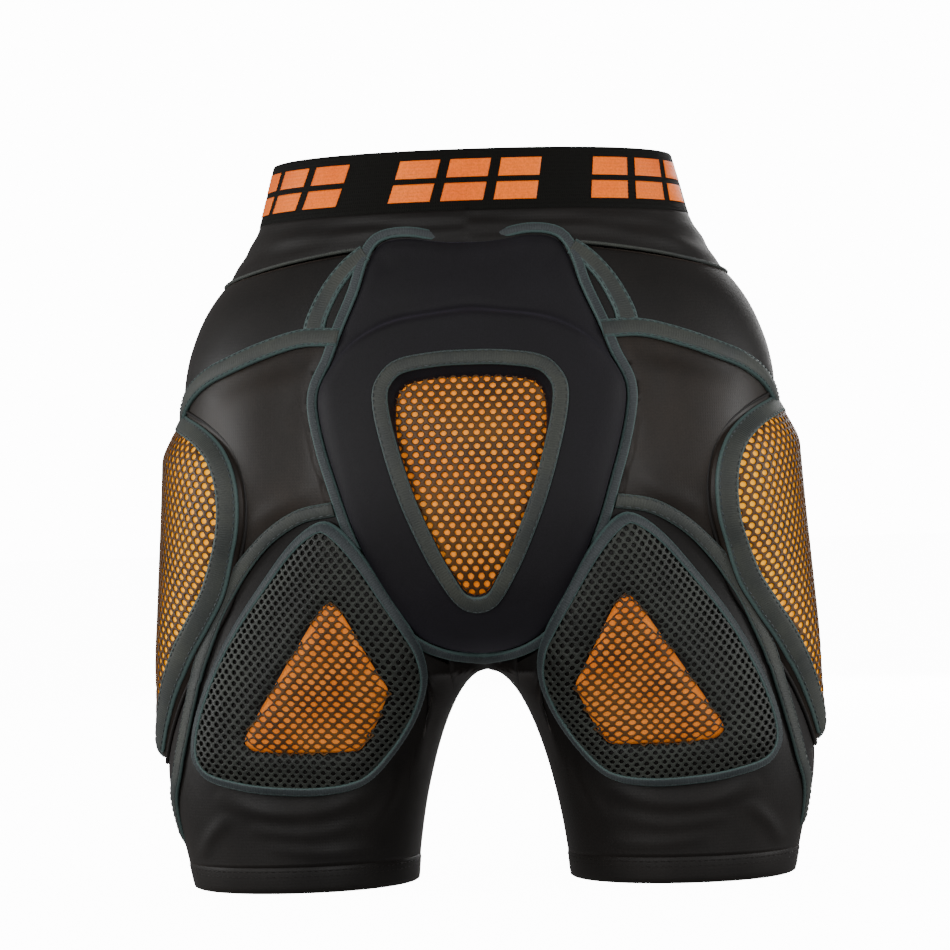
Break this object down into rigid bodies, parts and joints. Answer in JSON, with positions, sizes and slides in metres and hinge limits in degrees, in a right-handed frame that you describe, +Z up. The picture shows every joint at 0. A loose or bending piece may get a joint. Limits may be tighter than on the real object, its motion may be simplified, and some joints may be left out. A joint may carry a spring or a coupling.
{
  "type": "padded impact shorts",
  "caption": "Close-fitting stretch shorts with foam impact pads over the tailbone, hips and rear thighs, on an elastic waistband.",
  "frame": {"origin": "under the middle of the garment, on the level that both leg hems stand on", "axes": "+Z up to the waistband, +X to the wearer's right, +Y to the wearer's front, so the seat faces -Y"},
  "size_m": [0.4172, 0.2444, 0.441],
  "materials": {
    "elastic": "woven elastic webbing, matt black",
    "stretch_fabric": "knitted stretch fabric, black, slight sheen",
    "pad_cover": "smooth laminated stretch fabric over foam, black",
    "binding_tape": "folded binding tape, slate grey, stitched",
    "spacer_mesh": "knitted spacer mesh, dark grey",
    "orange_mesh": "perforated mesh, black net over orange",
    "foam": "closed-cell foam, dark grey"
  },
  "bodies": {
    "pelvis": {"waistband": "elastic", "waist_yoke": "stretch_fabric", "crotch_gusset": "stretch_fabric", "tail_liner": "stretch_fabric", "tail_pad_foam": "foam", "tail_pad_cover": "pad_cover", "tail_window_tape": "binding_tape", "tail_window_mesh": "orange_mesh", "tail_panel_tape": "binding_tape", "left_upper_hip_panel": "stretch_fabric", "left_seat_panel": "stretch_fabric", "left_front_panel": "stretch_fabric", "left_hip_pad_foam": "foam", "left_hip_pad_cover": "pad_cover", "left_hip_window_tape": "binding_tape", "left_hip_window_mesh": "orange_mesh", "left_hip_edge_tape": "binding_tape", "left_hip_seam_tape": "binding_tape", "left_hip_branch_tape": "binding_tape", "right_upper_hip_panel": "stretch_fabric", "right_seat_panel": "stretch_fabric", "right_front_panel": "stretch_fabric", "right_hip_pad_foam": "foam", "right_hip_pad_cover": "pad_cover", "right_hip_window_tape": "binding_tape", "right_hip_window_mesh": "orange_mesh", "right_hip_edge_tape": "binding_tape", "right_hip_seam_tape": "binding_tape", "right_hip_branch_tape": "binding_tape"},
    "left_leg": {"left_leg_back_panel": "stretch_fabric", "left_leg_front_panel": "stretch_fabric", "left_leg_hem": "stretch_fabric", "left_thigh_pad_foam": "foam", "left_thigh_pad_cover": "spacer_mesh", "left_thigh_patch": "orange_mesh", "left_thigh_edge_tape": "binding_tape", "left_leg_diagonal_tape": "binding_tape"},
    "right_leg": {"right_leg_back_panel": "stretch_fabric", "right_leg_front_panel": "stretch_fabric", "right_leg_hem": "stretch_fabric", "right_thigh_pad_foam": "foam", "right_thigh_pad_cover": "spacer_mesh", "right_thigh_patch": "orange_mesh", "right_thigh_edge_tape": "binding_tape", "right_leg_diagonal_tape": "binding_tape"}
  },
  "joints": [
    {"name": "left_hip_flexion", "type": "hinge", "parent": "pelvis", "child": "left_leg", "pos_m": [0, 0.00856, 0.25], "axis": [1, 0, 0], "range_deg": [0, 30]},
    {"name": "right_hip_flexion", "type": "hinge", "parent": "pelvis", "child": "right_leg", "pos_m": [0, 0.00856, 0.25], "axis": [1, 0, 0], "range_deg": [0, 30]}
  ]
}
